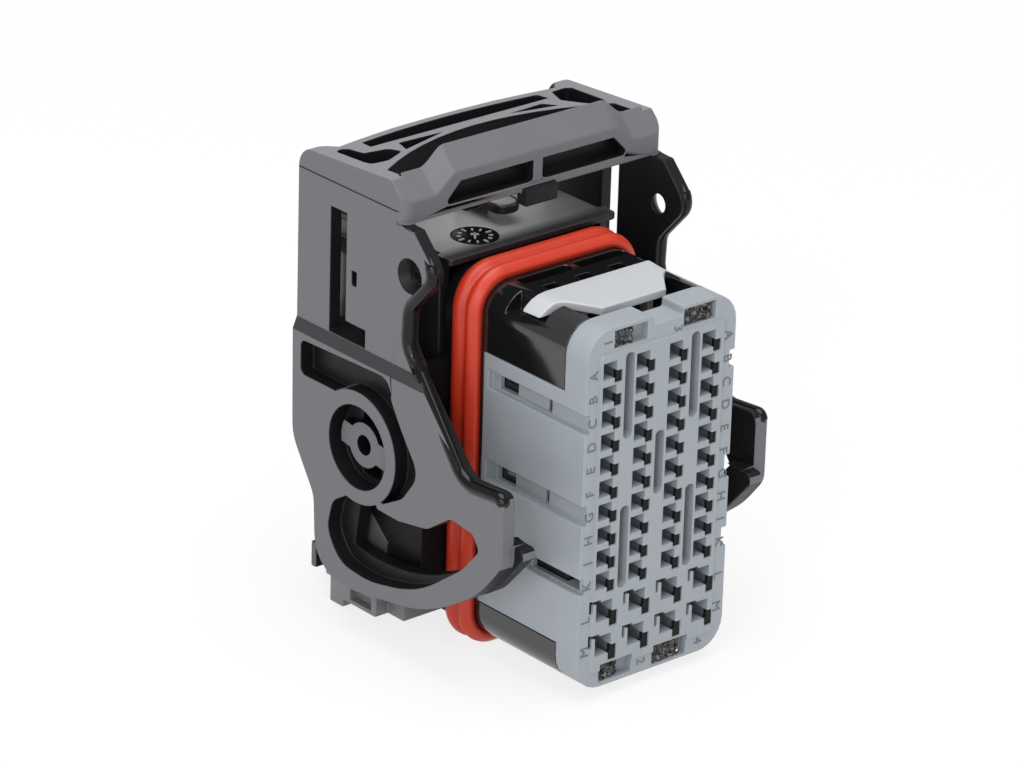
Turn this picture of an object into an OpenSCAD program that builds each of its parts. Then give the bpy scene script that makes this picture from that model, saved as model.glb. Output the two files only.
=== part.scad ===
// Sealed automotive connector with a pull-in lever: plug housing, front cap, terminal lock,
// interface seal, wire seal with its retainer, wire cover and lever.
// Origin: middle of the mating face. -Y points out of that face, +Z runs up the rows of
// cavities and +X runs across the columns. The part stands on the seal and the wire cover.

/* [Plug] */
// Width of the plug across its columns
plug_w = 23.4; // [23.2:0.1:24.4]
// Height of the plug along its rows
plug_h = 46.4; // [46:0.1:47]
// Corner radius of the plug
plug_r = 3.8; // [3:0.1:4.4]
// Depth of the front cap's face plate
plate_d = 4.1; // [3.8:0.1:4.4]
// Reach of the cap's side walls behind the mating face
cap_reach = 18.6; // [17.6:0.1:18.8]
// Thickness of the cap's side walls
cap_wall = 1.6; // [1.4:0.1:1.7]
// Bottom of the cap's side walls
cap_wall_low = -17.7; // [-18.6:0.1:-16]
// Top of the cap's side walls
cap_wall_high = 14.9; // [14:0.1:16]

/* [Cavities] */
// Distance between the columns of cavities
col_pitch = 5.16; // [5.1:0.02:5.2]
// Distance between the rows of small cavities
row_pitch = 3.0; // [2.9:0.02:3.04]
// Width and height of a small cavity's main square
small_cell = 2.1; // [1.8:0.1:2.2]
// Width and height of a large cavity's main square
large_cell = 2.5; // [2.2:0.1:2.7]
// Top of the first row of cavities
row_top = 19.0; // [18.6:0.1:19.2]

/* [Housing] */
// Distance from the mating face to the interface seal
seal_y = 19.0; // [18.9:0.1:20]
// Length of the interface seal's seat
seal_len = 4.4; // [4:0.1:5]
// Thickness of the flange behind the interface seal
flange_t = 1.6; // [1.2:0.1:2]
// Wall of the sleeve that holds the wire seal
sleeve_wall = 1.1; // [1:0.1:1.3]
// Length of the sleeve that holds the wire seal
sleeve_len = 9.4; // [9:0.1:10]
// Room between the pivot plates and the lever's arms
plate_gap = 0.4; // [0.4:0.1:0.8]
// Thickness of the pivot plates
pivot_plate_t = 1.6; // [1.2:0.1:1.8]

/* [Seals] */
// Height of the interface seal's ribs above the plug
seal_rise = 1.6; // [1.4:0.1:2]
// Thickness of the wire seal
mat_t = 5.0; // [4.5:0.1:5.5]
// Thickness of the wire seal's retainer
retainer_t = 2.4; // [2:0.1:2.6]

/* [Wire cover] */
// Half-width of the wire cover
cover_half = 16.4; // [16:0.1:16.5]
// Reach of the wire cover behind the mating face
cover_back = 48.5; // [46:0.5:50]
// Wall of the wire cover
cover_wall = 1.4; // [1.2:0.1:1.6]
// Level of the wire cover's top
cover_top = 25.2; // [25:0.1:26]
// Level of the toes under the wire cover
foot_z = -24.5; // [-24.9:0.1:-24.2]
// Width of the wire outlet
outlet_w = 16; // [12:0.5:18]

/* [Lever] */
// Distance from the mating face to the lever's pivot
pivot_y = 30.7; // [30.5:0.1:31.2]
// Height of the lever's pivot
pivot_z = 0.6; // [0:0.1:1]
// Radius of the pivot hub
hub_r = 2.9; // [2.6:0.1:3]
// Radial running clearance of the pivot
hub_gap = 0.08; // [0.04:0.01:0.1]
// Radius of the counterbore around the hub
bore_r = 5.3; // [5.1:0.1:5.6]
// Radius of the flush ring around the counterbore
ring_r = 7.3; // [6.9:0.1:7.6]
// Room between the wire cover and the lever's arms
arm_gap = 0.6; // [0.6:0.1:0.8]
// Thickness of the lower arm
arm_t = 4.05; // [3.8:0.05:4.3]
// Height by which the lower arm stands proud of the upper one
arm_step = 0.65; // [0.4:0.05:0.8]
// Thickness of the upper arm's plate
plate_t = 1.8; // [1.5:0.1:2]
// Distance from the pivot to the underside of the cross bar
bar_rise = 30.6; // [30.4:0.1:31.4]
// Width of the opening in the upper arm
slot_w = 3.0; // [2.4:0.1:3.4]

/* [Terminal lock] */
// Thickness of the lock's blades
blade_t = 1.0; // [0.8:0.1:1.1]
// Length of the lock's blades below its flap
blade_len = 30; // [24:1:32]

/* [Hidden] */
$fn = 48;
seat = 0.05;                        // gap between pieces that are fixed together
slide_gap = 0.15;                   // gap around a piece that slides
wide = 100;                         // longer than anything that is cut
plug_x = plug_w / 2;
plug_z = plug_h / 2;
col_x = [for (i = [0:3]) (i - 1.5) * col_pitch];
small_z = [for (i = [0:9]) row_top - i * row_pitch];
large_step = [row_pitch + 0.85, row_pitch + 1.5];
large_z = [small_z[9] - large_step[0], small_z[9] - large_step[0] - large_step[1]];
cell_left = -1.55;                  // left side of a small cavity, from its column
cell_mid = 0.5;                     // a cavity's middle lies this far left of its column
flange_y = seal_y + seal_len;
sleeve_y = flange_y + flange_t;
sleeve_end = sleeve_y + sleeve_len;
mat_x = 10.1;                       // half-width of the wire seal
mat_z = 21.2;                       // half-height of the wire seal
sleeve_x = mat_x + seat + sleeve_wall;
sleeve_z = mat_z + seat + sleeve_wall;
flange_rise = 1.0;                  // how far the flange stands out around the plug
flange_low = -20.8;                 // below this the flange stands out by low_rise only
low_rise = 0.3;
arm_in = cover_half + arm_gap;      // inner face of the lever's arms
pivot_plate_x = arm_in - plate_gap;
hub_len = 2.9;                      // length of the pivot hub inside the arm
hub_end = arm_in + hub_len;
web_t = 1.6;                        // thickness of the lever's web on the hub
ear_r = 4.4;
ear_w = 3.0;
arm_out = arm_in + arm_t;
upper_out = arm_out - arm_step;
upper_in = upper_out - plate_t;
skin_in = arm_in + arm_t / 2;       // where the cam groove ends under the outer skin
cover_y = sleeve_y + slide_gap;
cover_half_front = 13.2;            // half-width of the cover's tunnel and of its front
cover_sweep = bar_rise - 2;         // the cover's top keeps inside this radius of the pivot

// ---- outlines -----------------------------------------------------------------------

// Points of an arc that rounds the corner b between a and c
function round_corner(a, b, c, r, n) =
    let (u = (a - b) / norm(a - b), w = (c - b) / norm(c - b))
    let (half = acos(max(-1, min(1, u * w))) / 2)
    let (centre = b + (u + w) / norm(u + w) * r / sin(half))
    let (s = b + u * r / tan(half) - centre, e = b + w * r / tan(half) - centre)
    let (from = atan2(s.y, s.x), turn = atan2(e.y, e.x) - from)
    let (sweep = turn > 180 ? turn - 360 : turn < -180 ? turn + 360 : turn)
    [for (i = [0:n]) centre + r * [cos(from + sweep * i / n), sin(from + sweep * i / n)]];

// An outline given as [x, y, corner radius]
function rounded(p, n = 6) = [for (i = [0:len(p) - 1])
    let (a = p[(i + len(p) - 1) % len(p)], b = p[i], c = p[(i + 1) % len(p)])
    each b[2] > 0
        ? round_corner([a[0], a[1]], [b[0], b[1]], [c[0], c[1]], b[2], n)
        : [[b[0], b[1]]]];

// A rounded rectangle from x0, z0 to x1, z1
function box_path(x0, z0, x1, z1, r) = rounded([[x0, z0, r], [x1, z0, r], [x1, z1, r], [x0, z1, r]]);

// Points given from the pivot, moved to the part's frame
function from_pivot(p) = [for (q = p) [q[0] + pivot_y, q[1] + pivot_z, q[2]]];

// Extrudes an X-Z outline along Y
module deep(y0, y1) translate([0, y1, 0]) rotate([90, 0, 0]) linear_extrude(y1 - y0) children();

// Extrudes a Y-Z outline along X
module across(x0, x1) translate([x0, 0, 0]) rotate([90, 0, 90]) linear_extrude(x1 - x0) children();

module block(low, high) translate(low) cube(high - low);

module both_sides() {
    children();
    mirror([1, 0, 0]) children();
}

// ---- cavities -----------------------------------------------------------------------

// Small cavity: a square with a smaller square at its lower right
module small_mouth(x, z) {
    nib = small_cell * 0.57;
    translate([x + cell_left, z - small_cell]) square(small_cell);
    translate([x + cell_left + small_cell - 0.3, z - small_cell - 0.7]) square([nib, nib + 0.3]);
}

// Large cavity: the same in a larger size, with a slit at its upper left
module large_mouth(x, z) {
    left = x - 1.3;
    nib = large_cell * 0.52;
    translate([left, z - large_cell]) square(large_cell);
    translate([left + large_cell - 0.4, z - large_cell - 1.1]) square([nib, nib + 0.7]);
    translate([left - 0.9, z - 0.1]) square([1.6, 0.4]);
    translate([left - 0.9, z - 1.3]) square([0.4, 1.6]);
}

// One child at every small cavity, then one at every large cavity
module at_small() for (x = col_x, z = small_z) translate([x - cell_mid, z - small_cell / 2]) children();
module at_large() for (x = col_x, z = large_z) translate([x, z - large_cell / 2]) children();

module cavity_bores() {
    at_small() square(small_cell, center = true);
    at_large() square(large_cell, center = true);
}

// ---- front cap ----------------------------------------------------------------------

cap_step = [-1.7, 3.1, 1.2];        // left end, right end and depth of the step in the top edge
field_x = 9.75;                     // half-width of the raised field around the cavities
field_z = [-21.0, 20.0];
rim_drop = 0.25;                    // depth of the rim around the raised field
groove_d = 0.8;                     // depth of the side grooves
left_grooves = [[11.7, 2.4], [0.0, 2.6], [-9.2, 2.1]];    // middle and height of each
right_grooves = [[14.5, 2.2], [0.5, 2.9], [-8.8, 2.4]];
tongue_y = [8.0, 13.5];             // ends of the latch tongue in each window
window_y = [7.1, 16.5];
low_window_y = [1.2, 9.6];
key_mouths = [[-7.5, -2.4, 20.45, 22.7], [3.3, 8.3, 20.45, 22.7],
              [-8.1, -3.0, -22.6, -20.2], [0.4, 5.8, -22.8, -20.2]];
rib_slots = [[-1, 19.5, 8.6], [1, 19.5, 8.6], [0, 8.2, 0.1], [-1, -0.2, -10.8], [1, -0.2, -10.8]];

module cap_outline() polygon(rounded([
    [-plug_x, -plug_z, plug_r], [plug_x, -plug_z, plug_r], [plug_x, plug_z, plug_r],
    [cap_step[1], plug_z, 0.3], [cap_step[1], plug_z - cap_step[2], 0.3],
    [cap_step[0], plug_z - cap_step[2], 0.3], [cap_step[0], plug_z, 0.3],
    [-plug_x, plug_z, plug_r]]));

module cap_walls() both_sides()
    block([plug_x - cap_wall, plate_d, cap_wall_low], [plug_x, cap_reach, cap_wall_high]);

// Grooves run in from the mating face; a window with a latch tongue lies in the upper two
module cap_side(side, grooves) mirror([side < 0 ? 1 : 0, 0, 0]) {
    floor_x = plug_x - groove_d;
    for (i = [0:2]) {
        mid = grooves[i][0];
        half = grooves[i][1] / 2;
        short = side > 0 && i == 0;
        block([floor_x, -1, mid - half], [wide, short ? plate_d : cap_reach - 0.8, mid + half]);
        y = i == 2 ? low_window_y : window_y;
        if (!short) block([plug_x - cap_wall - 1, y[0], mid - half + 0.25],
                          [wide, y[1], mid + half - 0.25]);
    }
}

module cap_tongues(side, grooves) mirror([side < 0 ? 1 : 0, 0, 0])
    for (i = [0:1]) if (!(side > 0 && i == 0))
        block([plug_x - cap_wall, tongue_y[0], grooves[i][0] - grooves[i][1] / 2],
              [plug_x - groove_d - 0.3, tongue_y[1], grooves[i][0] + grooves[i][1] / 2]);

module front_cap() color("#a9b0b7") {
    difference() {
        union() {
            deep(0, plate_d) difference() {
                cap_outline();
                for (x = col_x) {
                    for (z = small_z) small_mouth(x, z);
                    for (z = large_z) large_mouth(x, z);
                }
            }
            cap_walls();
        }
        deep(-1, rim_drop) difference() {
            square(wide, center = true);
            polygon(box_path(-field_x, field_z[0], field_x, field_z[1], 0.6));
        }
        cap_side(-1, left_grooves);
        cap_side(1, right_grooves);
        for (k = key_mouths) {
            stop = k[1] - (k[1] - k[0]) / 3;
            block([k[0], -1, k[2]], [stop, plate_d + 1, k[3]]);
            block([stop - 0.01, -1, k[2]], [k[1], 1.4, k[3]]);
        }
        for (s = rib_slots)
            deep(-1, plate_d - 1) polygon(box_path(
                s[0] * col_pitch - 0.68, s[2], s[0] * col_pitch + 0.68, s[1], 0.6));
    }
    cap_tongues(-1, left_grooves);
    cap_tongues(1, right_grooves);
}

// ---- housing ------------------------------------------------------------------------

flap_y = [5.4, 9.4, 12.4];          // front of the flap, front of its wings, and its back
flap_low = 22.1;                    // lower edge of the flap's ends
flap_rise = 0.7;                    // how far the flap's back edge stands out of the plug
flap_t = 1.1;
flap_tilt = 5;                      // the flap slopes down to the front by this angle
wing_x = [4.8, 8.0];                // where the flap's middle ends and its wings start
wing_room = 0.5;                    // room in front of the wings for their rounded roots
wing_end = 8.4;                     // the right wing stops here, short of the plug's corner
blade_y = [8.2, 12.0];
blade_x = [-col_pitch, 0, col_pitch];
blade_z = flap_low - blade_len;
hub_tilt = 8;                       // the hub's ears lie this far off the mating axis
plate_z = [pivot_z - 16, pivot_z + 12];    // bottom and top of the pivot plates at the flange
top_slot_x = [[-7.5, 0.5], [1.4, 9.5]];   // ends of the slots in the top of the nose
top_slot_y = [seal_y - 2.4, seal_y - 0.7];

module ring_outline(rise)
    polygon(box_path(-plug_x - rise, -plug_z - rise, plug_x + rise, plug_z + rise, plug_r + rise));

module plug_outline() ring_outline(0);

// Pivot plate: wide at the flange, round about the pivot
module pivot_plate_outline(grow = 0) {
    root_y = sleeve_y + 2;
    end_y = pivot_y + ring_r + grow;
    low = plate_z[0] - grow;
    high = plate_z[1] + grow;
    polygon(rounded([
        [flange_y, low, 0], [root_y, low, 2], [end_y, pivot_z - 6 - grow, 4],
        [end_y, pivot_z + 6 + grow, 4], [root_y, high, 2], [flange_y, high, 0]]));
}

module hub() {
    translate([pivot_plate_x - 0.5, pivot_y, pivot_z]) rotate([0, 90, 0])
        cylinder(r = hub_r, h = hub_end - pivot_plate_x + 0.5);
    intersection() {
        translate([arm_in + web_t + 0.1, pivot_y, pivot_z]) rotate([hub_tilt, 0, 0])
            translate([0, -ear_r, -ear_w / 2]) cube([hub_end - arm_in - web_t - 0.1, 2 * ear_r, ear_w]);
        translate([arm_in, pivot_y, pivot_z]) rotate([0, 90, 0]) cylinder(r = ear_r, h = arm_t);
    }
}

// Everything that is cut out of the nose's top for the lock and its grips
module nose_top_cuts() {
    deep(flap_y[1] - wing_room, flap_y[2] + slide_gap) difference() {
        translate([-wide, flap_low - 0.5]) square([wide + wing_end + slide_gap, wide]);
        ring_outline(flap_rise - flap_t - 0.45);
    }
    block([-wing_x[1], 0, plug_z - 3.8], [wing_x[1], flap_y[1], wide]);
    for (x = blade_x) {
        block([x - blade_t / 2 - slide_gap, blade_y[0] - slide_gap, blade_z - 0.5],
              [x + blade_t / 2 + slide_gap, blade_y[1] + slide_gap, wide]);
        block([x - 0.95, flap_y[2] + 0.9, plug_z - 1.6], [x + 0.95, flap_y[2] + 2.5, wide]);
    }
    for (x = top_slot_x)
        translate([0, 0, plug_z - 2]) linear_extrude(wide)
            polygon(box_path(x[0], top_slot_y[0], x[1], top_slot_y[1], 0.6));
    both_sides() block([8.9, flap_y[2] + 0.5, plug_z - 2.4], [wide, flap_y[2] + 3, wide]);
}

module housing() color("#1d1f22") difference() {
    union() {
        deep(plate_d + seat, flange_y) plug_outline();
        deep(flange_y, sleeve_y) {
            ring_outline(low_rise);
            intersection() {
                ring_outline(flange_rise);
                translate([-wide, flange_low]) square(2 * wide);
            }
        }
        deep(sleeve_y - 0.01, sleeve_end)
            polygon(box_path(-sleeve_x, -sleeve_z, sleeve_x, sleeve_z, 1.2));
        block([-pivot_plate_x, flange_y, plate_z[0]], [pivot_plate_x, sleeve_y, plate_z[1]]);
        both_sides() {
            across(pivot_plate_x - pivot_plate_t, pivot_plate_x) pivot_plate_outline();
            hub();
        }
    }
    deep(0, sleeve_y + 1) cavity_bores();
    deep(sleeve_y, wide) square([2 * (mat_x + seat), 2 * (mat_z + seat)], center = true);
    both_sides() {
        block([plug_x - cap_wall - seat, 0, cap_wall_low - seat],
              [wide, cap_reach + seat, cap_wall_high + seat]);
        translate([pivot_plate_x, pivot_y, pivot_z]) rotate([0, 90, 0]) cylinder(r = 1.25, h = wide);
    }
    nose_top_cuts();
}

// ---- terminal lock ------------------------------------------------------------------

// A flap across the top of the plug, with blades between the columns of cavities
module secondary_lock() color("#c8cccf") {
    intersection() {
        translate([0, flap_y[2], plug_z]) rotate([flap_tilt, 0, 0]) translate([0, -flap_y[2], -plug_z])
            deep(flap_y[0] - 1, flap_y[2]) difference() {
                ring_outline(flap_rise);
                ring_outline(flap_rise - flap_t);
            }
        translate([0, 0, flap_low]) linear_extrude(5) difference() {
            translate([-wide, flap_y[0]]) square([wide + wing_end, flap_y[2] - flap_y[0]]);
            both_sides() polygon(rounded([
                [wing_x[0], -wide, 0], [wing_x[0], flap_y[0] - 0.2, 2.4],
                [wing_x[1], flap_y[1], 2.4], [wide, flap_y[1], 0], [wide, -wide, 0]]));
        }
    }
    for (x = blade_x)
        block([x - blade_t / 2, blade_y[0], blade_z],
              [x + blade_t / 2, blade_y[1] - 0.1, plug_z + flap_rise - flap_t - 0.1]);
}

// ---- seals --------------------------------------------------------------------------

rib_mids = [0.24, 0.74];            // places of the seal's ribs along its length

// Ring around the plug that stands out by rise
module seal_ring(y0, y1, rise) deep(y0, y1) difference() {
    ring_outline(rise);
    ring_outline(seat);
}

module interface_seal() color("#c8442e") {
    seal_ring(seal_y, flange_y - seat, seal_rise * 0.45);
    for (m = rib_mids) {
        mid = seal_y + m * seal_len;
        seal_ring(mid - 0.9, mid + 0.9, seal_rise * 0.75);
        seal_ring(mid - 0.5, mid + 0.5, seal_rise);
    }
}

mat_y = sleeve_y + 0.2;
module mat_seal() color("#b23a28") deep(mat_y, mat_y + mat_t) difference() {
    square([2 * mat_x, 2 * mat_z], center = true);
    at_small() circle(r = small_cell * 0.36, $fn = 20);
    at_large() circle(r = large_cell * 0.4, $fn = 20);
}

module seal_retainer() color("#303336") deep(mat_y + mat_t + seat, mat_y + mat_t + seat + retainer_t)
    difference() {
        square([2 * mat_x, 2 * mat_z], center = true);
        cavity_bores();
    }

// ---- wire cover ---------------------------------------------------------------------

body_low = -21.2;                   // bottom of the cover's body
shoulder_drop = 3.4;                // the cover's shoulders lie this far below its top
taper_y = 40;                       // behind this the cover grows narrower
back_half = 13;
tunnel_end = 46;
lip_y = flange_y + 0.15;            // front of the lip that covers the flange
lip_t = 0.9;
foot_y = [28.4, 31.4, 40.3];        // front of the foot box, then front and back of its feet
foot_x = [15.0, 17.0];              // half-widths of the foot box and of its feet
foot_low = -23.5;                   // bottom of the foot box and of its feet
foot_top = -20.7;
toe = 2.6;                          // length of the toes behind the feet
rear_rib = [44.1, 3.4];             // back and height of the ribs behind the feet
latch = [0.3, 1.9];                 // middle and half-width of the latch tongue
latch_y = [28.0, 36.6];
latch_z = [26.6, 27.7];
dial = [-5.5, 28.1, 2.9, 0.35];     // x, y, radius and depth of the date dial

// Plan of the wide body, made smaller by inset
module cover_plan(inset) {
    h = cover_half - inset;
    polygon(rounded([
        [-cover_half_front + inset, cover_y, 0], [cover_half_front - inset, cover_y, 0],
        [h, cover_y + 5, 0], [h, taper_y, 6], [back_half - inset, cover_back - inset, 3],
        [inset - back_half, cover_back - inset, 3], [-h, taper_y, 6], [-h, cover_y + 5, 0]]));
}

// Outer or inner form of the cover: a wide body, a tunnel above it and a foot box below
module cover_form(inset) intersection() {
    union() {
        translate([0, 0, body_low + inset])
            linear_extrude(cover_top - shoulder_drop - body_low - 2 * inset) cover_plan(inset);
        deep(cover_y - inset, tunnel_end - inset) polygon(box_path(
            inset - cover_half_front, body_low + inset, cover_half_front - inset, cover_top - inset,
            max(0, 1.2 - inset)));
        block([inset - foot_x[0], foot_y[0] + inset, foot_low + inset],
              [foot_x[0] - inset, foot_y[2] - inset, 0]);
    }
    union() {
        translate([0, pivot_y, pivot_z]) rotate([0, 90, 0])
            cylinder(r = cover_sweep - inset, h = wide, center = true, $fn = 96);
        block([-wide, 0, -wide], [wide, wide, pivot_z]);
    }
}

// Solid walls inside the cover that the pivot plates lie in
module cover_cheeks() intersection() {
    cover_form(0);
    both_sides() block([pivot_plate_x - pivot_plate_t - 0.3 - cover_wall, cover_y, plate_z[0] - 3],
                       [wide, pivot_y + ring_r + 3, plate_z[1] + 3]);
}

module cover_feet() both_sides() {
    difference() {
        block([foot_x[0] - 1, foot_y[1], foot_low], [foot_x[1], foot_y[2], foot_top]);
        block([foot_x[1] - 1.2, foot_y[1] + 1, foot_low + 0.6],
              [wide, foot_y[1] + 5, foot_top - 0.6]);
    }
    block([foot_x[0] - 1, foot_y[2] - toe, foot_z], [foot_x[1], foot_y[2], foot_top]);
    block([cover_half - 2, foot_y[2] - 1, body_low], [foot_x[1], foot_y[2] + 0.9, body_low + rear_rib[1]]);
    block([back_half, rear_rib[0] - 1, body_low], [foot_x[1], rear_rib[0], body_low + rear_rib[1]]);
}

module cover_latch() translate([latch[0], 0, 0]) {
    translate([0, 0, latch_z[0]]) linear_extrude(latch_z[1] - latch_z[0]) polygon(rounded([
        [-latch[1], latch_y[0], 1.7], [latch[1], latch_y[0], 1.7], [latch[1], latch_y[1], 0],
        [-latch[1], latch_y[1], 0]]));
    block([-latch[1], latch_y[1] - 2, cover_top - cover_wall], [latch[1], latch_y[1], latch_z[1]]);
}

module wire_cover() color("#232528") difference() {
    union() {
        difference() {
            cover_form(0);
            cover_form(cover_wall);
        }
        cover_cheeks();
        cover_feet();
        cover_latch();
        translate([0, 0, cover_top - lip_t]) linear_extrude(lip_t) polygon(rounded([
            [-cover_half_front, lip_y, 0.8], [cover_half_front, lip_y, 0.8],
            [cover_half_front, cover_y + 1, 0], [-cover_half_front, cover_y + 1, 0]]));
    }
    both_sides() across(pivot_plate_x - pivot_plate_t - 0.3, wide) pivot_plate_outline(0.3);
    deep(cover_y - 1, sleeve_end + 0.2)
        polygon(box_path(-sleeve_x - seat, -sleeve_z - seat, sleeve_x + seat, sleeve_z + seat, 1.2));
    block([-outlet_w / 2, sleeve_end + 1.2, -wide], [outlet_w / 2, foot_y[2] + 5, body_low + 3]);
    translate([dial[0], dial[1], cover_top - dial[3]]) cylinder(r = dial[2], h = 1);
}

// ---- lever --------------------------------------------------------------------------

bar_z = pivot_z + bar_rise;         // underside of the cross bar
bar_y = [23.6, 25.95, 43.4];        // front face, top edge of the front face, and back
bar_h = [2.8, 2.8 + bar_y[1] - bar_y[0], 4.1];   // its face's height, its top, and its back
nose_r = 1.6;                       // rounding of the bar's outer front corners
raise = 2.2;                        // how far the middle of the bar stands above its ends
raise_x = [12.3, 15.9];             // where the raised middle ends, above and below
rail_x = upper_out - 1.7;           // inner side of the top rails
hole_pos = [-8.4, 24.8];            // the tie hole, from the pivot
hole_r = 1.2;
slope_z = [11.3, 12.8];             // the slope between the arm's two levels, from the pivot
inner_step = 13.4;                  // top of the lower arm's inner half, from the pivot
slot_z = [12.9, 28.9];              // lower and upper end of the opening, from the pivot
slot_y = [34.1, 29.7];              // front of the opening in the left and in the right arm
foot_slot = [4.2, 2.2];             // length and height of the left opening's foot
cam_r = [25.0, 14.4];               // outer radius of the cam groove at its mouth and at its end
cam_in = [11.5, 7.0];               // and its inner radius there
cam_a = [188.5, 280];               // and its bearing from the pivot there
mouth_y = 11.5;                     // the cam groove's mouth is open in front of this
// Hollow behind the arm's front edge, inside its outer skin, from the pivot
edge_hollow = [[-30, 0.1], [-17, 0.1], [-5, inner_step + 0.1], [-30, inner_step + 0.1]];

// Side outline of one arm, from the pivot
arm_path = [
    [12.7, bar_rise + bar_h[2], 2.6], [12.7, 12, 0], [12.5, -2.6, 6], [8.2, -9.2, 4],
    [7.7, -18.7, 5], [0.5, -19.2, 18], [-13.2, -17.0, 26], [-22.9, -11.1, 18],
    [-27.0, -6.0, 3], [-27.0, 3.4, 1.3], [-20.0, 2.8, 3.5], [-10.6, 13.2, 3],
    [-8.3, 15.8, 3], [-8.5, 20.3, 2.5], [-13.6, 25.9, 2.6], [-7.6, 32.0, 1.5],
    [bar_y[0] - pivot_y, bar_rise + bar_h[0], 0], [bar_y[1] - pivot_y, bar_rise + bar_h[1], 0]];
// Lip under the cam groove's mouth
lip_path = [
    [-28.6, -3.6, 0.8], [-24.7, -3.7, 0], [-20, -8.1, 0], [-19, -13.4, 0], [-23.4, -10.8, 8],
    [-28.6, -4.9, 0.8]];
// Hollow beside the ring
pocket_path = [
    [10.95, 10.3, 0.8], [10.95, 6.0, 0.8], [4.2, 6.0, 0], [0, 0, 0], [-4.6, -5.8, 1],
    [-8.6, -3.6, 3], [-11.6, 0.4, 2.5], [-8.1, 5.2, 2], [-6.1, 8.4, 2], [-6.1, 10.9, 2]];
// Curved opening below the ring
crescent_path = [
    [1.9, -7.1, 0.3], [4.4, -8.6, 2.5], [5.4, -12.6, 3], [3.0, -16.2, 4], [-2.6, -16.7, 14],
    [-11.6, -14.8, 20], [-19.8, -8.7, 12], [-22.9, -5.2, 0.8], [-21.6, -3.4, 0.8], [-17.6, -3.0, 1.5],
    [-13.4, -5.9, 3], [-8.0, -6.8, 4], [-4.0, -6.7, 0.5], [0, 0, 0]];

module at_pivot(x0, r, h) translate([x0, pivot_y, pivot_z]) rotate([0, 90, 0]) cylinder(r = r, h = h);

// Cam groove: a spiral band that draws a peg inwards as the lever turns
module cam_outline() {
    n = 16;
    function cam_at(t, ends) =
        let (a = cam_a[0] + (cam_a[1] - cam_a[0]) * t)
        let (r = ends[1] + (ends[0] - ends[1]) * pow(1 - t, 2.2))
        [pivot_y + r * cos(a), pivot_z + r * sin(a)];
    polygon(concat([for (i = [0:n]) cam_at(i / n, cam_r)], [for (i = [n:-1:0]) cam_at(i / n, cam_in)]));
}

// Solid of one arm: a lower part, a thinner upper plate, and the lip
module arm_body() {
    intersection() {
        across(arm_in, arm_out) polygon(rounded(from_pivot(arm_path)));
        deep(-wide, wide) polygon([
            [arm_in - 1, -wide], [arm_out, -wide], [arm_out, pivot_z + slope_z[0]],
            [upper_out, pivot_z + slope_z[1]], [upper_out, wide], [upper_in, wide],
            [upper_in, pivot_z + inner_step], [arm_in - 1, pivot_z + inner_step]]);
    }
    across(arm_in, skin_in) polygon(rounded(from_pivot(lip_path)));
}

module arm(left) difference() {
    arm_body();
    // opening in the upper plate; in the left arm it has a foot towards the front
    y = slot_y[left ? 0 : 1];
    block([0, y, pivot_z + slot_z[0]], [wide, y + slot_w, pivot_z + slot_z[1]]);
    if (left) {
        block([0, y - foot_slot[0] + 0.5, pivot_z + slot_z[0]],
              [wide, y + 1, pivot_z + slot_z[0] + foot_slot[1]]);
        block([0, 32.2, pivot_z + 20.2], [wide, 33.0, pivot_z + 22.0]);
    }
    // tie hole, countersunk from outside
    translate([0, pivot_y + hole_pos[0], pivot_z + hole_pos[1]]) rotate([0, 90, 0]) {
        cylinder(r = hole_r, h = wide);
        translate([0, 0, upper_out - 1.2]) cylinder(r1 = hole_r, r2 = 2.2, h = 1.21);
    }
    // hollow beside the ring
    across(skin_in, wide) difference() {
        polygon(rounded(from_pivot(pocket_path)));
        translate([pivot_y, pivot_z]) circle(r = ring_r);
    }
    // pivot: counterbore, bore and the slots that the hub's ears pass through
    at_pivot(arm_in + web_t, bore_r, wide);
    at_pivot(0, hub_r + hub_gap, wide);
    intersection() {
        block([0, pivot_y - ear_w / 2 - 0.2, -wide], [wide, pivot_y + ear_w / 2 + 0.2, wide]);
        at_pivot(0, ear_r + 0.15, wide);
    }
    // curved opening, cam groove and its mouth
    across(skin_in - 0.01, wide) difference() {
        polygon(rounded(from_pivot(crescent_path)));
        translate([pivot_y, pivot_z]) circle(r = ring_r);
    }
    across(0, skin_in) cam_outline();
    block([0, -wide, pivot_z + lip_path[0][1]], [skin_in, mouth_y, pivot_z + 12]);
    across(0, skin_in) polygon([for (p = edge_hollow) p + [pivot_y, pivot_z]]);
    // rounded corner at the bar's end, flush with the bar's front
    translate([0, 0, bar_z]) linear_extrude(wide) difference() {
        square([wide, bar_y[0] + nose_r]);
        translate([0, bar_y[0]]) square([upper_out - nose_r, wide]);
        translate([upper_out - nose_r, bar_y[0] + nose_r]) circle(r = nose_r);
    }
    // mould seam along the rail
    block([upper_out - 0.15, 24.6, bar_z + 1.5], [wide, wide, bar_z + 1.7]);
}

// Height of the bar's front edge above its underside, at x
function bar_edge(x) =
    let (t = max(0, min(1, (raise_x[1] - abs(x)) / (raise_x[1] - raise_x[0]))))
    bar_h[0] + raise * t * t * (3 - 2 * t);
bar_x = concat([-rail_x - 0.1], [for (i = [0:8]) -raise_x[1] + i * (raise_x[1] - raise_x[0]) / 8],
               [for (i = [0:8]) raise_x[0] + i * (raise_x[1] - raise_x[0]) / 8], [rail_x + 0.1]);

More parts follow.
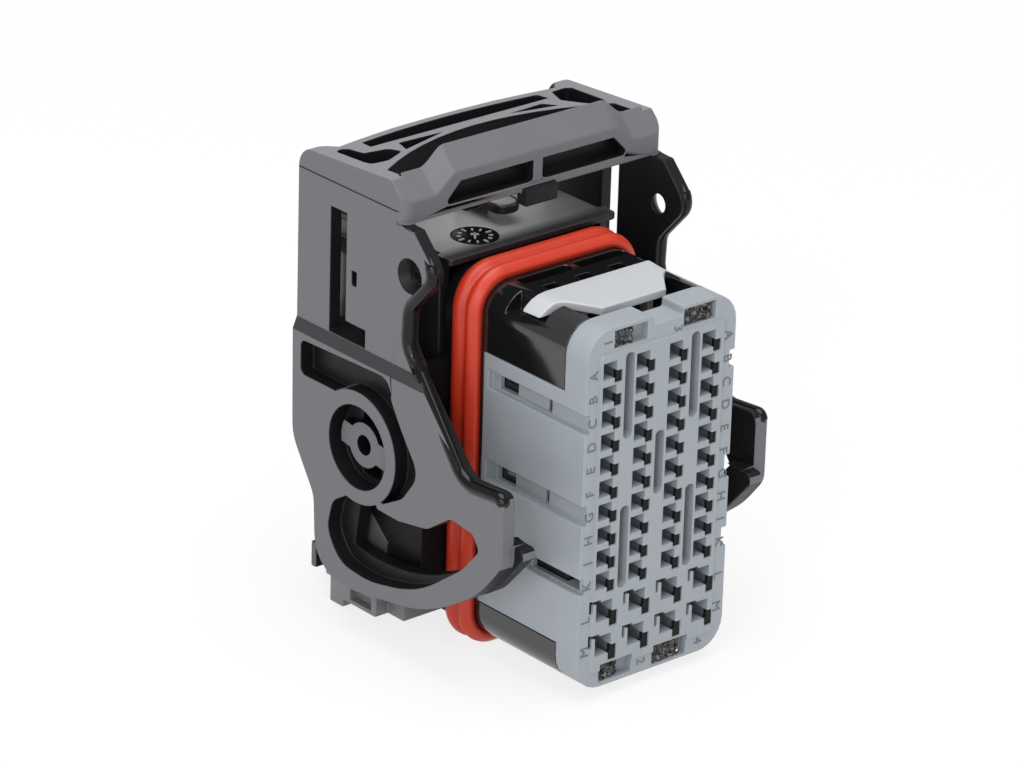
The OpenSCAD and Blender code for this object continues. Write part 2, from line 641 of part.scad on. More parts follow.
// Front of the cross bar: an upright wall with a sloping shelf on it
module bar_front() {
    wall_t = 1.3;
    difference() {
        deep(bar_y[0], bar_y[0] + wall_t)
            polygon(concat([for (x = bar_x) [x, bar_z + bar_edge(x)]],
                           [[rail_x + 0.1, bar_z], [-rail_x - 0.1, bar_z]]));
        // two long windows either side of a middle post
        deep(0, wide) translate([0.3, bar_z]) both_sides() polygon(rounded([
            [0.8, 1.2, 0.4], [14.4, 1.2, 0.4], [11.4, 4.3, 0.4], [0.8, 4.3, 0.4]]));
    }
    // shelf: the edge line swept up and back at 45 degrees
    intersection() {
        translate([0, bar_y[0], bar_z]) rotate([-45, 0, 0]) translate([0, 0, -3]) linear_extrude(13)
            polygon(concat([for (x = bar_x) [x, -bar_edge(x) * cos(45)]],
                           [for (i = [len(bar_x) - 1:-1:0]) [bar_x[i], (1.3 - bar_edge(bar_x[i])) * cos(45)]]));
        block([-wide, bar_y[0], 0], [wide, bar_y[1] + 0.5, wide]);
    }
    // catch in the middle of the lower edge
    block([-2.2, bar_y[0] - 0.8, bar_z - 1.6], [2.9, bar_y[0] + 1, bar_z + 0.6]);
}

// Top of the cross bar: rails and an arch of ribs, seen in plan
arch_y = 35.4;                      // front of the arch in the middle
slot_x = 18.2;                      // half-length of the space in front of it
module bar_top() intersection() {
    translate([0, 0, bar_z]) linear_extrude(20) difference() {
        polygon(concat(
            [[-rail_x - 0.1, bar_y[1] - 0.2], [rail_x + 0.1, bar_y[1] - 0.2], [rail_x + 0.1, 42.2]],
            [for (i = [0:12]) let (x = 17 - i * 34 / 12) [x, 41.5 - 1.35 * pow(x / 16, 2)]],
            [[-rail_x - 0.1, 42.2]]));
        // long space in front of the arch
        polygon(concat([[-slot_x, bar_y[1] + 0.5], [slot_x, bar_y[1] + 0.5]],
            [for (i = [0:12]) let (x = slot_x * (1 - i / 6)) [x, arch_y - 0.0165 * pow(x - 1, 2)]]));
        // space behind the straight rib
        polygon(concat([[-14.2, arch_y + 2], [13.6, arch_y + 2]],
            [for (i = [0:8]) let (x = 13.4 - i * 27.4 / 8) [x, arch_y + 4.8 - pow(x / 14, 2)]]));
        // shaped spaces at the ends, and a small one beside each end of the arch
        translate([0, arch_y]) {
            polygon(rounded([[-18.4, 3.5, 0.6], [-16.8, 3.5, 0.6], [-16.5, 0.6, 0.8],
                             [-13.2, 0, 0.6], [-12.6, -1.8, 0.5], [-15.8, -3.3, 1.5],
                             [-18.4, -3.1, 0.8]], 3));
            polygon(rounded([[15.6, 3.5, 0.5], [18.4, 3.7, 0.6], [18.2, -3.6, 0.5],
                             [15.9, -3.0, 1], [14.3, 0.4, 0.6]], 3));
            polygon([[-10.8, 0.8], [-11.6, -1.5], [-4.6, 0.5]]);
            polygon([[11.6, 0.8], [12.7, -1.1], [6.5, 0.5]]);
        }
    }
    across(-wide, wide) polygon(rounded(from_pivot(arm_path)));
}

module lever() color("#26282b") {
    arm(false);
    mirror([1, 0, 0]) arm(true);
    bar_front();
    bar_top();
}

front_cap();
housing();
secondary_lock();
interface_seal();
mat_seal();
seal_retainer();
wire_cover();
lever();
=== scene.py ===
import math

import bmesh
import bpy
from mathutils import Matrix, Vector, noise
from mathutils.bvhtree import BVHTree
from mathutils.geometry import delaunay_2d_cdt


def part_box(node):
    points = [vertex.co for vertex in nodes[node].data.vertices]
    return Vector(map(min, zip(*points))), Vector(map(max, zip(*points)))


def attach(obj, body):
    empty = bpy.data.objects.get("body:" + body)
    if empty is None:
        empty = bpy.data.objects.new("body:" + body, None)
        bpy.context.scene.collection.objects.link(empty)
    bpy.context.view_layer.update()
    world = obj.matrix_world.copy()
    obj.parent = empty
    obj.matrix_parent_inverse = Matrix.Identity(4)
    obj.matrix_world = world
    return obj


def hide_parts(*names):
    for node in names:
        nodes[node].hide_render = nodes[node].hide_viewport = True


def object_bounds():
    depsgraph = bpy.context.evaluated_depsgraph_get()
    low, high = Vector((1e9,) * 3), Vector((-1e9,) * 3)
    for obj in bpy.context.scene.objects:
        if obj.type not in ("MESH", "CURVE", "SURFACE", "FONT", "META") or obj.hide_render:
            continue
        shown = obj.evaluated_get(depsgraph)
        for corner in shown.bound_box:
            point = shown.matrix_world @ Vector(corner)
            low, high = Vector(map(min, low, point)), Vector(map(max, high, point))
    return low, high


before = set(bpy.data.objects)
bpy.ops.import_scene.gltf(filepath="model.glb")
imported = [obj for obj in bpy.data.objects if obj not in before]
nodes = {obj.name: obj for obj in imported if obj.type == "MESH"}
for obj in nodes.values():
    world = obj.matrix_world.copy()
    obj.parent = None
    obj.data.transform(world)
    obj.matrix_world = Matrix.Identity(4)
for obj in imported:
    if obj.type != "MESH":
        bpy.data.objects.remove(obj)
cad_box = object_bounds()
scene = bpy.context.scene

# ---- Table, lamps and camera ---------------------------------------------------------
# A pale table top with the plug standing on it, lit by three large soft lamps and a small
# one that draws glints on the polished edges, in a white room. The camera is a long lens
# that looks down on the plug's left front corner.

table_z = cad_box[0].z
table_size = 6.0
table_colour = (0.86, 0.86, 0.86, 1.0)
white_share = 0.8
room_glow = 0.45
white_glow = 1.0

half = table_size / 2
table_corners = [(x * half, y * half, table_z) for x, y in ((-1, -1), (1, -1), (1, 1), (-1, 1))]
mesh = bpy.data.meshes.new("table_top")
mesh.from_pydata(table_corners, [], [(0, 1, 2, 3)])
table_top = bpy.data.objects.new("table_top", mesh)
scene.collection.objects.link(table_top)

table_paint = bpy.data.materials.new("table_paint")
table_paint.use_nodes = True
tree = table_paint.node_tree
tree.nodes.clear()
light_path = tree.nodes.new("ShaderNodeLightPath")
seen = tree.nodes.new("ShaderNodeMath")
seen.operation = "MAXIMUM"
tree.links.new(light_path.outputs["Is Camera Ray"], seen.inputs[0])
tree.links.new(light_path.outputs["Is Glossy Ray"], seen.inputs[1])
share = tree.nodes.new("ShaderNodeMath")
share.operation = "MULTIPLY"
share.inputs[1].default_value = white_share
tree.links.new(seen.outputs[0], share.inputs[0])
paint = tree.nodes.new("ShaderNodeBsdfDiffuse")
paint.inputs["Color"].default_value = table_colour
glow = tree.nodes.new("ShaderNodeEmission")
glow.inputs["Strength"].default_value = white_glow
mix = tree.nodes.new("ShaderNodeMixShader")
tree.links.new(share.outputs[0], mix.inputs[0])
tree.links.new(paint.outputs[0], mix.inputs[1])
tree.links.new(glow.outputs[0], mix.inputs[2])
out = tree.nodes.new("ShaderNodeOutputMaterial")
tree.links.new(mix.outputs[0], out.inputs["Surface"])
mesh.materials.append(table_paint)

room = bpy.data.worlds.new("room")
room.use_nodes = True
scene.world = room
room_light = room.node_tree.nodes["Background"]
room_light.inputs["Color"].default_value = (1.0, 1.0, 1.0, 1.0)
room_path = room.node_tree.nodes.new("ShaderNodeLightPath")
room_level = room.node_tree.nodes.new("ShaderNodeMapRange")
room_level.inputs["To Min"].default_value = room_glow
room_level.inputs["To Max"].default_value = white_glow
room.node_tree.links.new(room_path.outputs["Is Camera Ray"], room_level.inputs["Value"])
room.node_tree.links.new(room_level.outputs[0], room_light.inputs["Strength"])

middle = Vector((0.00276, 0.030, 0.00298))


def softbox(name, place, size, power):
    """A square soft lamp that points at the middle of the plug."""
    lamp = bpy.data.lights.new(name, "AREA")
    lamp.shape = "SQUARE"
    lamp.size = size
    lamp.energy = power
    holder = bpy.data.objects.new(name, lamp)
    holder.location = place
    holder.rotation_euler = (middle - Vector(place)).to_track_quat("-Z", "Y").to_euler()
    scene.collection.objects.link(holder)


softbox("top_lamp", (-0.05, -0.05, 0.75), 0.7, 5.4)
softbox("left_lamp", (-0.70, -0.20, 0.12), 0.5, 0.85)
softbox("glint_lamp", (-0.55, -0.30, 0.42), 0.10, 0.6)
softbox("front_lamp", (-0.46, -0.52, 0.26), 0.45, 1.3)

camera_turn = math.radians(41.097)
camera_rise = math.radians(23.451)
camera_roll = math.radians(1.760)
camera_distance = 0.67737
sensor_width = 36.0
lens_length = 194.964

lens = bpy.data.cameras.new("camera")
lens.sensor_width = sensor_width
lens.lens = lens_length
lens.clip_end = 50.0
camera = bpy.data.objects.new("camera", lens)
turned = (
    Matrix.Rotation(-camera_turn, 4, "Z")
    @ Matrix.Rotation(math.pi / 2 - camera_rise, 4, "X")
    @ Matrix.Rotation(camera_roll, 4, "Z")
)
looks_along = turned.to_3x3() @ Vector((0.0, 0.0, -1.0))
camera.matrix_world = Matrix.Translation(middle - looks_along * camera_distance) @ turned
scene.collection.objects.link(camera)
scene.camera = camera
scene.view_settings.view_transform = "Standard"

# ---- Front cap -----------------------------------------------------------------------
# Light grey nylon plate that closes the front of the plug, moulded in one shot with its
# side walls. It snaps onto the housing with the tongues in its side windows.

cap_colour = (0.30, 0.33, 0.36)
mottle_scale = 180.0                   # patches of the mottling, per metre
coat_roughness = 0.08


def plastic(
    name, colour, roughness, grain=0.1, grain_size=0.00018, mottle=0.06, coat=0.0, shine=0.5
):
    """Moulded plastic: faint flow mottling, and a fine grain that breaks up its gloss."""
    material = bpy.data.materials.new(name)
    material.use_nodes = True
    nodes_, links = material.node_tree.nodes, material.node_tree.links
    shader = nodes_["Principled BSDF"]
    place = nodes_.new("ShaderNodeTexCoord").outputs["Object"]
    flow = nodes_.new("ShaderNodeTexNoise")
    flow.inputs["Scale"].default_value = mottle_scale
    flow.inputs["Detail"].default_value = 4.0
    links.new(place, flow.inputs["Vector"])
    tint = nodes_.new("ShaderNodeMix")
    tint.data_type = "RGBA"
    tint.inputs[6].default_value = (*[c * (1 - mottle) for c in colour], 1.0)
    tint.inputs[7].default_value = (*[min(1.0, c * (1 + mottle)) for c in colour], 1.0)
    links.new(flow.outputs["Fac"], tint.inputs[0])
    links.new(tint.outputs[2], shader.inputs["Base Color"])
    speck = nodes_.new("ShaderNodeTexNoise")
    speck.inputs["Scale"].default_value = 1.0 / grain_size
    speck.inputs["Detail"].default_value = 2.0
    links.new(place, speck.inputs["Vector"])
    gloss = nodes_.new("ShaderNodeMapRange")
    gloss.inputs["From Min"].default_value = 0.3
    gloss.inputs["From Max"].default_value = 0.7
    gloss.inputs["To Min"].default_value = roughness * 0.9
    gloss.inputs["To Max"].default_value = min(1.0, roughness * 1.12)
    links.new(flow.outputs["Fac"], gloss.inputs["Value"])
    links.new(gloss.outputs[0], shader.inputs["Roughness"])
    bump = nodes_.new("ShaderNodeBump")
    bump.inputs["Strength"].default_value = grain
    bump.inputs["Distance"].default_value = grain_size * 0.25
    links.new(speck.outputs["Fac"], bump.inputs["Height"])
    links.new(bump.outputs[0], shader.inputs["Normal"])
    shader.inputs["Specular IOR Level"].default_value = shine
    shader.inputs["Coat Weight"].default_value = coat
    shader.inputs["Coat Roughness"].default_value = coat_roughness
    return material


sharp_turn = math.radians(28)          # edges that turn more than this are rounded
same_surface = math.cos(math.radians(20))
near_surface = math.cos(math.radians(60))
on_solid = 2e-6                        # a flat face of the solid lies this near to it
flat_turn = 0.9998
fill_reach = 0.2                       # shares of the widest rounding
snap_reach = 0.45
stray_reach = 0.5


def fill_again(shape, face, surface, reach):
    """Cut a many-sided flat face into sound triangles that all lie on the solid."""
    up = face.normal.copy()
    across = up.orthogonal().normalized()
    along = up.cross(across)
    start = face.verts[0].co.copy()
    ring = list(face.verts)
    flat_ring = [Vector(((v.co - start).dot(across), (v.co - start).dot(along))) for v in ring]
    spots, _, triangles, origins, _, _ = delaunay_2d_cdt(
        flat_ring, [], [list(range(len(ring)))], 1, 1e-7
    )
    corners = [
        ring[origin[0]] if origin else shape.verts.new(start + across * spot.x + along * spot.y)
        for spot, origin in zip(spots, origins)
    ]
    index = face.material_index
    bmesh.ops.delete(shape, geom=[face], context="FACES_ONLY")
    for triangle in triangles:
        three = [corners[k] for k in triangle]
        centre = (three[0].co + three[1].co + three[2].co) / 3
        if surface.find_nearest(centre)[3] < reach and not shape.faces.get(three):
            shape.faces.new(three).material_index = index


def moulded(node, name, materials, radius, rule=None, face_rule=None, segments=2):
    """A copy of a solid with rounded edges, as a mould leaves them, that stands for it.

    rule(edge, middle) gives an edge's radius, and face_rule(face) a face's material. Where
    the roundings of close edges tangle, what leaves the solid is put back or dropped."""
    shape = bmesh.new()
    shape.from_mesh(nodes[node].data)
    bmesh.ops.remove_doubles(shape, verts=shape.verts, dist=1e-6)
    bmesh.ops.dissolve_limit(
        shape, angle_limit=math.radians(0.05), verts=shape.verts, edges=shape.edges
    )
    for face in shape.faces:
        face.material_index = face_rule(face) if face_rule else 0
    shape.edges.ensure_lookup_table()
    weight = shape.edges.layers.float.new("bevel_weight_edge")
    sizes = {}
    for edge in shape.edges:
        if edge.calc_face_angle(0.0) > sharp_turn:
            place = (edge.verts[0].co + edge.verts[1].co) / 2
            sizes[edge] = rule(edge, place) if rule else radius
    widest = max(sizes.values())
    for edge, size in sizes.items():
        edge[weight] = size / widest
    shape.faces.index_update()
    areas = [face.calc_area() for face in shape.faces]
    surface = BVHTree.FromBMesh(shape)
    rough = bpy.data.meshes.new("rough")
    shape.to_mesh(rough)
    shape.free()
    for material in materials:
        rough.materials.append(material)
    piece = bpy.data.objects.new(name, rough)
    scene.collection.objects.link(piece)
    bevel = piece.modifiers.new("rounded_edges", "BEVEL")
    bevel.width = widest
    bevel.segments = segments
    bevel.limit_method = "WEIGHT"
    bevel.use_clamp_overlap = False
    bevel.material = -1
    bpy.context.view_layer.update()
    finished = bpy.data.meshes.new_from_object(
        piece.evaluated_get(bpy.context.evaluated_depsgraph_get())
    )
    finished.name = name
    piece.modifiers.clear()
    piece.data = finished
    bpy.data.meshes.remove(rough)
    shape = bmesh.new()
    shape.from_mesh(finished)
    for vert in shape.verts:
        spot, normal, index, distance = surface.find_nearest(vert.co)
        if distance > widest * snap_reach:
            vert.co = spot
    for face in [f for f in shape.faces if len(f.verts) > 4]:
        fill_again(shape, face, surface, widest * fill_reach)
    bmesh.ops.triangulate(shape, faces=shape.faces)
    strays = []
    for face in shape.faces:
        middles = [(edge.verts[0].co + edge.verts[1].co) / 2 for edge in face.edges]
        if max(surface.find_nearest(spot)[3] for spot in middles) > widest * stray_reach:
            strays.append(face)
    bmesh.ops.delete(shape, geom=strays, context="FACES_ONLY")
    shape.normal_update()
    flat = {}
    for face in shape.faces:
        face.smooth = True
        spot, normal, index, distance = surface.find_nearest(face.calc_center_median())
        if distance < on_solid and normal.dot(face.normal) > flat_turn:
            flat[face] = areas[index]
    normals = []
    for face in shape.faces:
        for corner in face.loops:
            around = corner.vert.link_faces
            limit = same_surface if face in flat else near_surface
            like = [f for f in around if f in flat and f.normal.dot(face.normal) > limit]
            if not like:
                like = [f for f in around if f.normal.dot(face.normal) > near_surface] or [face]
            total = sum((f.normal * flat.get(f, f.calc_area() + 1e-12) for f in like), Vector())
            normals.append(total.normalized() if total.length > 0 else face.normal.copy())
    shape.to_mesh(finished)
    shape.free()
    finished.normals_split_custom_set(normals)
    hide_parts(node)
    return piece


cap_plastic = plastic("cap_grey", cap_colour, 0.45, grain=0.15)
front_cap = moulded("front_cap", "cap_shell", [cap_plastic], radius=0.00012)
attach(front_cap, "plug")

# Row letters and column numbers, cut into the mould so that they stand on the cap's rim; their
# darker grey is painted shade.
letter_shade_colour = (0.13, 0.145, 0.165)
letter_size = 0.0018
letter_rise = 0.00006
rim_y = 0.00025
letter_x = 0.0105
row_pitch = 0.003
row_z = [0.01772 - i * row_pitch for i in range(10)] + [-0.01376, -0.01790]
row_names = "ABCDEFGHJKLM"
numbers = [("1", -0.00863, 0.0215), ("3", 0.00233, 0.0206),
           ("2", -0.00151, -0.0217), ("4", 0.0077, -0.0217)]
# Painted shade: the letters are the cap's own grey plastic, made darker here to stand for the
# shade on them.
letter_painted_shade = plastic("letter_shade_grey", letter_shade_colour, 0.5)


def raised_signs(name, signs, body, sign_shade):
    """Letters of one moulding as a single piece. A sign is (text, x, z, turn)."""
    shape = bmesh.new()
    for text, x, z, turn in signs:
        curve = bpy.data.curves.new("sign", "FONT")
        curve.body = text
        curve.size = letter_size
        curve.align_x = "CENTER"
        curve.align_y = "CENTER"
        curve.extrude = letter_rise
        curve.resolution_u = 4
        holder = bpy.data.objects.new("sign", curve)
        scene.collection.objects.link(holder)
        bpy.context.view_layer.update()
        solid = bpy.data.meshes.new_from_object(
            holder.evaluated_get(bpy.context.evaluated_depsgraph_get())
        )
        spot = Matrix.Translation((x, rim_y, z)) @ Matrix.Rotation(math.pi / 2, 4, "X")
        solid.transform(spot @ Matrix.Rotation(turn, 4, "Z"))
        shape.from_mesh(solid)
        bpy.data.objects.remove(holder)
        bpy.data.curves.remove(curve)
        bpy.data.meshes.remove(solid)
    joined = bpy.data.meshes.new(name)
    shape.to_mesh(joined)
    shape.free()
    joined.materials.append(sign_shade)
    piece = bpy.data.objects.new(name, joined)
    scene.collection.objects.link(piece)
    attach(piece, body)


quarter = math.pi / 2
signs = [(row_names[i], -letter_x, row_z[i], quarter) for i in range(12)]
signs += [(row_names[i], letter_x, row_z[i], -quarter) for i in range(12)]
signs += [(n, x, z, -quarter) for n, x, z in numbers]
raised_signs("row_letters", signs, "plug", letter_painted_shade)

# Black fingers of the terminal chambers, part of the plug's body behind the cap. One
# shows in the lower right notch of each cavity, and in each large cavity's upper slit.
column_pitch = 0.00516
column_x = [(i - 1.5) * column_pitch for i in range(4)]
small_top = [0.019 - i * row_pitch for i in range(10)]
large_top = [small_top[9] - 0.00385, small_top[9] - 0.00385 - 0.0045]
small_left, large_left = 0.00155, 0.0013    # a cavity's left side, from its column
finger_front, slit_front, finger_back = 0.00025, 0.0004, 0.0007
# Each finger as (left, bottom, right, top), from its cavity's upper left corner
small_fingers = [(0.0021, -0.00275, 0.00295, -0.00135)]
large_fingers = [(0.0021, -0.00355, 0.00335, -0.0025), (0.0025, -0.0025, 0.00335, -0.0017)]
slit_fingers = [(-0.00085, -0.00125, -0.00055, 0.00025), (-0.00055, -0.00005, 0.00065, 0.00025)]


def add_box(shape, low, high):
    """One box between two corners."""
    corners = [
        shape.verts.new((low[0] if i & 4 == 0 else high[0],
                         low[1] if i & 2 == 0 else high[1],
                         low[2] if i & 1 == 0 else high[2]))
        for i in range(8)
    ]
    sides = ((0, 1, 3, 2), (4, 6, 7, 5), (0, 4, 5, 1), (2, 3, 7, 6), (0, 2, 6, 4), (1, 5, 7, 3))
    for side in sides:
        shape.faces.new([corners[i] for i in side])


def add_fingers(shape, left, top, fingers, front):
    """The fingers of one cavity."""
    for x0, z0, x1, z1 in fingers:
        add_box(shape, (left + x0, front, top + z0), (left + x1, finger_back, top + z1))


def finished_piece(name, shape, material, body):
    """A new piece from a shape, on its body and with its finish."""
    bmesh.ops.recalc_face_normals(shape, faces=shape.faces)
    solid = bpy.data.meshes.new(name)
    shape.to_mesh(solid)
    shape.free()
    solid.materials.append(material)
    piece = bpy.data.objects.new(name, solid)
    scene.collection.objects.link(piece)
    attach(piece, body)
    return piece


shape = bmesh.new()
for x in column_x:
    for z in small_top:
        add_fingers(shape, x - small_left, z, small_fingers, finger_front)
    for z in large_top:
        add_fingers(shape, x - large_left, z, large_fingers, finger_front)
        add_fingers(shape, x - large_left, z, slit_fingers, slit_front)
finger_black = plastic("finger_black", (0.010, 0.010, 0.011), 0.5, grain=0.05, shine=0.15)
housing_plastic = plastic("housing_black", (0.007, 0.0073, 0.008), 0.1, grain=0.02, shine=0.9)
finished_piece("chamber_fingers", shape, finger_black, "plug")

# Coding blocks: lumpy black plastic that fills the deep part of each key mouth.
key_mouths = [(-0.0075, -0.0044, 0.02045, 0.0227), (0.0033, 0.0079, 0.02045, 0.0227),
              (-0.0081, -0.0050, -0.0226, -0.0202), (0.0004, 0.0050, -0.0228, -0.0202)]
key_front = 0.0007
lump = 0.00055
lumps_per_metre = 1800.0
across, up = 16, 10
shape = bmesh.new()
for x0, x1, z0, z1 in key_mouths:
    grid = []
    for i in range(across + 1):
        column = []
        for k in range(up + 1):
            x = x0 + (x1 - x0) * i / across
            z = z0 + (z1 - z0) * k / up
            y = key_front + lump * noise.noise(Vector((x, 0.0, z)) * lumps_per_metre)
            column.append(shape.verts.new((x, y, z)))
        grid.append(column)
    for i in range(across):
        for k in range(up):
            shape.faces.new((grid[i][k], grid[i + 1][k], grid[i + 1][k + 1], grid[i][k + 1]))
finished_piece("coding_blocks", shape, housing_plastic, "plug")

# ---- Terminal lock -------------------------------------------------------------------
# Paler grey flap over the top of the nose, with blades that slide down between the
# columns of terminals. It is lifted to put a terminal in.

lock_plastic = plastic("lock_grey", (0.45, 0.465, 0.485), 0.4, grain=0.08)
lock = moulded("secondary_lock", "lock_flap", [lock_plastic], radius=0.00022)
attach(lock, "lock")

# ---- Housing -------------------------------------------------------------------------
# Polished black body of the plug, which carries the seals, the sleeve at the back and the
# two pivots of the lever.

hub_grey = plastic("hub_grey", (0.115, 0.118, 0.128), 0.45, grain=0.2)
hub_end = 0.0198
flange_front = 0.0229
plate_black = plastic("plate_black", (0.006, 0.006, 0.007), 0.35, grain=0.05, shine=0.12)


def housing_face(face):
    """The ends of the hubs are grained, the nose is polished, and the rest is dull."""
    spot = face.calc_center_median()
    if abs(face.normal.x) > 0.9 and abs(spot.x) > hub_end:
        return 0
    return 1 if spot.y < flange_front else 2


housing = moulded(
    "housing", "plug_body", [hub_grey, housing_plastic, plate_black],
    radius=0.00012, face_rule=housing_face,
)
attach(housing, "plug")

# ---- Interface seal ------------------------------------------------------------------
# Red silicone ring with two soft ribs, stretched over the plug in front of its flange.

plug_corner = 0.0038
seal_low, seal_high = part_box("interface_seal")
seal_rise = 0.0016
inner_x = seal_high.x - seal_rise
inner_z = seal_high.z - seal_rise
seal_len = seal_high.y - seal_low.y
corner_steps = 14
# Section of the ring: place along its length as a share, and height as a share
seal_section = [
    (0.00, 0.03), (0.00, 0.40), (0.02, 0.52), (0.06, 0.62), (0.12, 0.78), (0.19, 0.93),
    (0.26, 0.97), (0.33, 0.90), (0.39, 0.72), (0.44, 0.60), (0.48, 0.57), (0.52, 0.60),
    (0.57, 0.74), (0.63, 0.90), (0.71, 0.99), (0.79, 1.00), (0.87, 0.93), (0.94, 0.80),
    (0.98, 0.66), (1.00, 0.50), (1.00, 0.03),
]

shape = bmesh.new()
loops = []
for corner, (side_x, side_z) in enumerate(((1, 1), (-1, 1), (-1, -1), (1, -1))):
    for step in range(corner_steps + 1):
        angle = (corner + step / corner_steps) * math.pi / 2
        loop = []
        for share_y, share_r in seal_section:
            r = plug_corner + share_r * seal_rise
            loop.append(shape.verts.new((
                side_x * (inner_x - plug_corner) + r * math.cos(angle),
                seal_low.y + share_y * seal_len,
                side_z * (inner_z - plug_corner) + r * math.sin(angle),
            )))
        loops.append(loop)
for i, loop in enumerate(loops):
    after = loops[(i + 1) % len(loops)]
    for k in range(len(loop)):
        n = (k + 1) % len(loop)
        shape.faces.new((loop[k], loop[n], after[n], after[k]))
bmesh.ops.recalc_face_normals(shape, faces=shape.faces)
for face in shape.faces:
    face.smooth = True
mesh = bpy.data.meshes.new("seal_ring")
shape.to_mesh(mesh)
shape.free()
seal = bpy.data.objects.new("seal_ring", mesh)
scene.collection.objects.link(seal)
seal_rubber = plastic("seal_red", (0.52, 0.032, 0.010), 0.4, grain=0.1, mottle=0.1)
mesh.materials.append(seal_rubber)
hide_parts("interface_seal")
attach(seal, "plug")

# ---- Wire seal and its retainer ------------------------------------------------------
# Soft red mat that each wire passes through, held in the sleeve by a black grid.

mat_rubber = plastic("mat_red", (0.45, 0.045, 0.025), 0.6, mottle=0.1)
nodes["mat_seal"].data.materials.clear()
nodes["mat_seal"].data.materials.append(mat_rubber)
retainer_plastic = plastic("retainer_black", (0.035, 0.035, 0.038), 0.4)
nodes["seal_retainer"].data.materials.clear()
nodes["seal_retainer"].data.materials.append(retainer_plastic)

# ---- Wire cover ----------------------------------------------------------------------
# Black hood behind the plug that turns the bundle of wires downwards.

# The deck's pale grey is a painted sheen on the black cover's top.
deck_painted_sheen = plastic("cover_deck_painted_sheen", (0.33, 0.33, 0.34), 0.22, grain=0.04)
cover_plastic = plastic("cover_black", (0.085, 0.087, 0.093), 0.4, grain=0.2)
# Near-black for the cover's inside and for faces under the arms: the real black plastic, made
# much darker than its grey outside as painted shade.
cover_inner_shade = plastic("cover_inner_shade", (0.010, 0.010, 0.011), 0.3, grain=0.03, shine=0.3)
cover_foot = plastic("cover_foot", (0.18, 0.183, 0.19), 0.4, grain=0.2)
deck_z = 0.0252
foot_z = -0.0205
back_y = 0.044
side_x = 0.0130
plate_end = 0.035
deck_painted_shade = (0.035, 0.035, 0.037, 1.0)
deck_sheen_fades = (("Y", 0.0268, 0.0246), ("X", -0.002, 0.016))    # axis, pale from here, dark there

# The deck's pale grey is a painted sheen on the cover's black top, and it fades to painted
# shade towards its front edge and its right end
tree = deck_painted_sheen.node_tree
shader = tree.nodes["Principled BSDF"]
painted_sheen_colour = shader.inputs["Base Color"].links[0].from_socket
spot = tree.nodes.new("ShaderNodeSeparateXYZ")
tree.links.new(tree.nodes["Texture Coordinate"].outputs["Object"], spot.inputs[0])
fade = tree.nodes.new("ShaderNodeMath")
fade.operation = "MULTIPLY"
for k, (axis, pale, dark) in enumerate(deck_sheen_fades):
    level = tree.nodes.new("ShaderNodeMapRange")
    level.inputs["From Min"].default_value = dark
    level.inputs["From Max"].default_value = pale
    tree.links.new(spot.outputs[axis], level.inputs["Value"])
    tree.links.new(level.outputs[0], fade.inputs[k])
deck_sheen_mix = tree.nodes.new("ShaderNodeMix")
deck_sheen_mix.data_type = "RGBA"
deck_sheen_mix.inputs[6].default_value = deck_painted_shade
tree.links.new(fade.outputs[0], deck_sheen_mix.inputs[0])
tree.links.new(painted_sheen_colour, deck_sheen_mix.inputs[7])
tree.links.new(deck_sheen_mix.outputs[2], shader.inputs["Base Color"])


def cover_face(face):
    """Satin deck with a painted sheen and painted shade, grained outside, black inside and
    under the arms and darkened there as painted shade, and paler feet.
    """
    spot = face.calc_center_median()
    if face.normal.z > 0.9 and spot.z > deck_z - 0.0001:
        return 0
    if spot.z < foot_z and spot.y < back_y and face.normal.z > -0.5:
        return 3
    outside = spot.y > back_y or spot.z < foot_z or abs(spot.x) > side_x and spot.y > plate_end
    facing = face.normal.y > 0.5 or face.normal.z < -0.5 or face.normal.x * spot.x > 0
    return 1 if outside and facing else 2


cover = moulded(
    "wire_cover", "wire_hood", [deck_painted_sheen, cover_plastic, cover_inner_shade, cover_foot],
    radius=0.0002, face_rule=cover_face,
)
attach(cover, "plug")


def rounded_path(corners, steps=8):
    """Points of an open path whose corners are rounded with arcs, in metres."""
    spots = [Vector((c[0], c[1])) * 0.001 for c in corners]
    points = [spots[0]]
    for i in range(1, len(corners) - 1):
        before, corner, after = spots[i - 1], spots[i], spots[i + 1]
        u, w = (before - corner).normalized(), (after - corner).normalized()
        half = math.acos(max(-1.0, min(1.0, u.dot(w)))) / 2
        radius = corners[i][2] * 0.001
        centre = corner + (u + w).normalized() * radius / math.sin(half)
        start = corner + u * radius / math.tan(half) - centre
        end = corner + w * radius / math.tan(half) - centre
        first = math.atan2(start.y, start.x)
        sweep = (math.atan2(end.y, end.x) - first + math.pi) % (2 * math.pi) - math.pi
        for k in range(steps + 1):
            angle = first + sweep * k / steps
            points.append(centre + radius * Vector((math.cos(angle), math.sin(angle))))
    return points + [spots[-1]]


def swept_bead(name, path, radius, material, body):
    """A round bead along a path of points, slimmer at its ends."""
    slim_ends = (0.35, 0.8)
    curve = bpy.data.curves.new(name, "CURVE")
    curve.dimensions = "3D"
    curve.bevel_depth = radius
    curve.bevel_resolution = 5
    curve.use_fill_caps = True
    spline = curve.splines.new("POLY")
    spline.points.add(len(path) - 1)
    for point, spot in zip(spline.points, path):
        point.co = (*spot, 1.0)
    for i, share_r in enumerate(slim_ends):
        spline.points[i].radius = spline.points[-1 - i].radius = share_r
    holder = bpy.data.objects.new(name, curve)
    scene.collection.objects.link(holder)
    bpy.context.view_layer.update()
    solid = bpy.data.meshes.new_from_object(
        holder.evaluated_get(bpy.context.evaluated_depsgraph_get())
    )
    bpy.data.objects.remove(holder)
    bpy.data.curves.remove(curve)
    solid.name = name
    solid.materials.clear()
    solid.materials.append(material)
    for face in solid.polygons:
        face.use_smooth = True
    piece = bpy.data.objects.new(name, solid)
    scene.collection.objects.link(piece)
    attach(piece, body)


